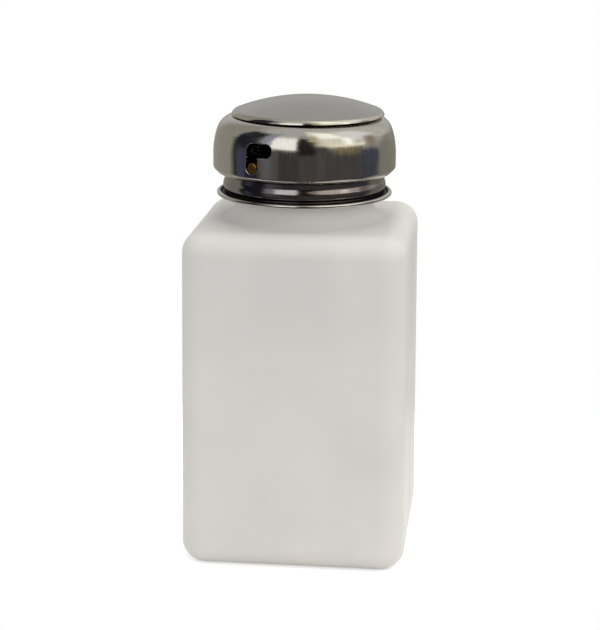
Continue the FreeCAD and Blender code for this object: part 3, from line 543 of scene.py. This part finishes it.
# What polished steel mirrors, the nearest last. Azimuth 0 is in front of the bottle and 90 on its
# +X side. Each has its azimuths and elevations in degrees, how soft its sides, its foot and its top
# are, and its colour. Elevations lean: on the right side the room falls off with the azimuth.
AMBIENT_STRENGTH = 0.81
LEAN_START = 25.0
LEAN_END = 115.0
LEAN_DEGREES = 10.0
ROOM_FLOOR = (0.055, 0.052, 0.054, 1)
ROOM = {
    "ceiling": ((-200, 200), (13, 110), (3, 3, 3), (0.57, 0.555, 0.52, 1)),
    "ceiling_right": ((5, 115), (66, 110), (12, 10, 3), (0.70, 0.68, 0.62, 1)),
    "front_low": ((-2, 86), (-110, 19.5), (2, 3, 1.2), (0.074, 0.068, 0.066, 1)),
    "left_wall": ((-200, -96), (-110, 62), (8, 9, 9), (0.36, 0.34, 0.29, 1)),
    "right_wall_low": ((112, 200), (-110, 21), (6, 9, 6), (0.27, 0.26, 0.22, 1)),
    "right_wall": ((112, 200), (18, 72), (7, 6, 9), (0.66, 0.63, 0.56, 1)),
    "back_left": ((-200, -146), (4, 62), (10, 8, 12), (0.54, 0.53, 0.52, 1)),
    "back_right": ((146, 200), (12, 72), (10, 8, 12), (0.54, 0.53, 0.52, 1)),
    "right_pale": ((66, 114), (27, 72), (8, 6, 10), (1.00, 1.00, 0.98, 1)),
    "right_brown": ((93, 112), (16, 36), (7, 5, 9), (0.36, 0.27, 0.22, 1)),
    "right_blue": ((82, 108), (-2, 15), (8, 6, 5), (0.065, 0.076, 0.105, 1)),
    "right_window": ((14, 64), (20, 86), (5, 1.5, 10), (1.00, 0.95, 0.78, 1)),
    "right_window_bright": ((28, 66), (42, 76), (8, 9, 8), (1.45, 1.44, 1.32, 1)),
    "right_window_tan": ((10, 26), (20, 56), (6, 1.5, 10), (0.58, 0.50, 0.35, 1)),
    "right_streak": ((61, 74), (19, 42), (5, 2, 9), (1.60, 1.58, 1.45, 1)),
    "right_ledge": ((36, 90), (18.5, 22), (6, 1.2, 1.5), (1.40, 1.33, 1.08, 1)),
    "right_sill": ((45, 80), (10, 18.5), (8, 4, 2), (0.24, 0.19, 0.10, 1)),
    "left_window": ((-39, -4), (14, 44), (2.5, 1.5, 14), (1.35, 1.32, 1.28, 1)),
    "left_frame": ((-54, -39), (17, 66), (6, 4, 8), (0.34, 0.37, 0.46, 1)),
    "left_dark": ((-95, -54), (-110, 56), (6, 4, 8), (0.016, 0.016, 0.024, 1)),
    "left_blue": ((-88, -75), (-110, 6), (5, 4, 4), (0.068, 0.072, 0.115, 1)),
    "left_floor": ((-51, -34), (-14, 8), (4, 3, 4), (0.14, 0.135, 0.14, 1)),
    "front_post_left": ((-34, -27), (-20, 11), (2.5, 6, 2), (0.105, 0.098, 0.10, 1)),
    "front_post_right": ((21, 29), (-20, 12), (2.5, 6, 5), (0.090, 0.084, 0.082, 1)),
    "front_beam": ((-4, 12), (42, 60), (5, 5, 9), (0.40, 0.39, 0.36, 1)),
    "front_dark": ((-3, 12), (8, 43), (4, 3, 5), (0.018, 0.014, 0.012, 1)),
    "front_dark_foot": ((-3, 20), (8, 26), (4, 3, 5), (0.018, 0.014, 0.012, 1)),
}


def build_world():
    """White to the camera, even light on matte surfaces, and a studio room in polished steel."""
    world = bpy.data.worlds.new("studio")
    bpy.context.scene.world = world
    world.use_nodes = True
    tree = Tree(world.node_tree)
    coordinates = tree.add("ShaderNodeTexCoord")
    x, y, z = tree.split(coordinates.outputs["Generated"])
    toward_front = tree.product(y, -1.0)
    azimuth = tree.product(tree.math("ARCTAN2", x, toward_front), 180 / math.pi)
    elevation = tree.product(tree.math("ARCSINE", z), 180 / math.pi)
    lean = tree.between(azimuth, LEAN_START, LEAN_END, 0.0, LEAN_DEGREES, smooth=False)
    elevation = tree.math("ADD", elevation, lean)
    room = ROOM_FLOOR
    for (left, right), (low, high), (side, foot, top), colour in ROOM.values():
        share = tree.product(
            tree.between(azimuth, left - side, left + side),
            tree.between(azimuth, right - side, right + side, 1.0, 0.0),
            tree.between(elevation, low - foot, low + foot),
            tree.between(elevation, high - top, high + top, 1.0, 0.0),
        )
        room = tree.mix(share, room, colour)
    path = tree.add("ShaderNodeLightPath")
    ambient = (AMBIENT_STRENGTH, AMBIENT_STRENGTH, AMBIENT_STRENGTH, 1.0)
    lit = tree.mix(path.outputs["Is Glossy Ray"], ambient, room)
    shown = tree.math("MAXIMUM", path.outputs["Is Camera Ray"], path.outputs["Is Transmission Ray"])
    background = tree.add("ShaderNodeBackground")
    tree.put(background.inputs["Color"], tree.mix(shown, lit, WHITE))
    output = tree.add("ShaderNodeOutputWorld")
    tree.links.new(background.outputs[0], output.inputs["Surface"])


build_world()

# Soft boxes: each has its place, its width and height, its power and its colour
LAMP_TARGET = (0.0, 0.0, 60 * MM)
LAMPS = {
    "top_box": ((0.30, -0.05, 0.72), (0.90, 0.90), 1.75, (1.0, 0.98, 0.96)),
    "right_box": ((0.50, -0.65, 0.45), (0.60, 0.60), 1.55, (1.0, 0.97, 0.94)),
    "left_box": ((-0.70, -0.45, 0.40), (0.45, 0.55), 0.4, (0.97, 0.99, 1.0)),
}


def aimed(position, target):
    """A matrix at position whose -Z axis looks at target."""
    direction = Vector(target) - Vector(position)
    return Matrix.Translation(position) @ direction.to_track_quat("-Z", "Y").to_matrix().to_4x4()


def soft_box(name, position, size, power, colour):
    """A rectangular lamp that looks at the middle of the bottle."""
    lamp = bpy.data.lights.new(name, "AREA")
    lamp.shape = "RECTANGLE"
    lamp.size, lamp.size_y = size
    lamp.energy = power
    lamp.color = colour
    box = bpy.data.objects.new(name, lamp)
    box.matrix_world = aimed(position, LAMP_TARGET)
    box.visible_camera = False
    box.visible_glossy = False
    bpy.context.scene.collection.objects.link(box)


for lamp_name, settings in LAMPS.items():
    soft_box(lamp_name, *settings)


def build_camera():
    """The camera: placed round the bottle, then pitched, panned and rolled."""
    forward = Vector((
        math.sin(CAMERA_PAN) * math.cos(CAMERA_PITCH),
        math.cos(CAMERA_PAN) * math.cos(CAMERA_PITCH),
        -math.sin(CAMERA_PITCH),
    ))
    level = Vector((math.cos(CAMERA_PAN), -math.sin(CAMERA_PAN), 0.0))
    upward = level.cross(forward)
    right = level * math.cos(CAMERA_ROLL) + upward * math.sin(CAMERA_ROLL)
    up = upward * math.cos(CAMERA_ROLL) - level * math.sin(CAMERA_ROLL)
    turn = Matrix((right, up, -forward)).transposed().to_4x4()
    stand = Matrix.Translation((0.0, -CAMERA_DISTANCE, CAMERA_HEIGHT))
    data = bpy.data.cameras.new("camera")
    data.sensor_width = SENSOR_MM
    data.lens = FOCAL_PX * SENSOR_MM / IMAGE_HEIGHT_PX
    data.clip_start = CAMERA_CLIP_START
    camera = bpy.data.objects.new("camera", data)
    camera.matrix_world = Matrix.Rotation(CAMERA_AZIMUTH, 4, "Z") @ stand @ turn
    bpy.context.scene.collection.objects.link(camera)
    bpy.context.scene.camera = camera


build_camera()
bpy.context.scene.view_settings.view_transform = "Standard"
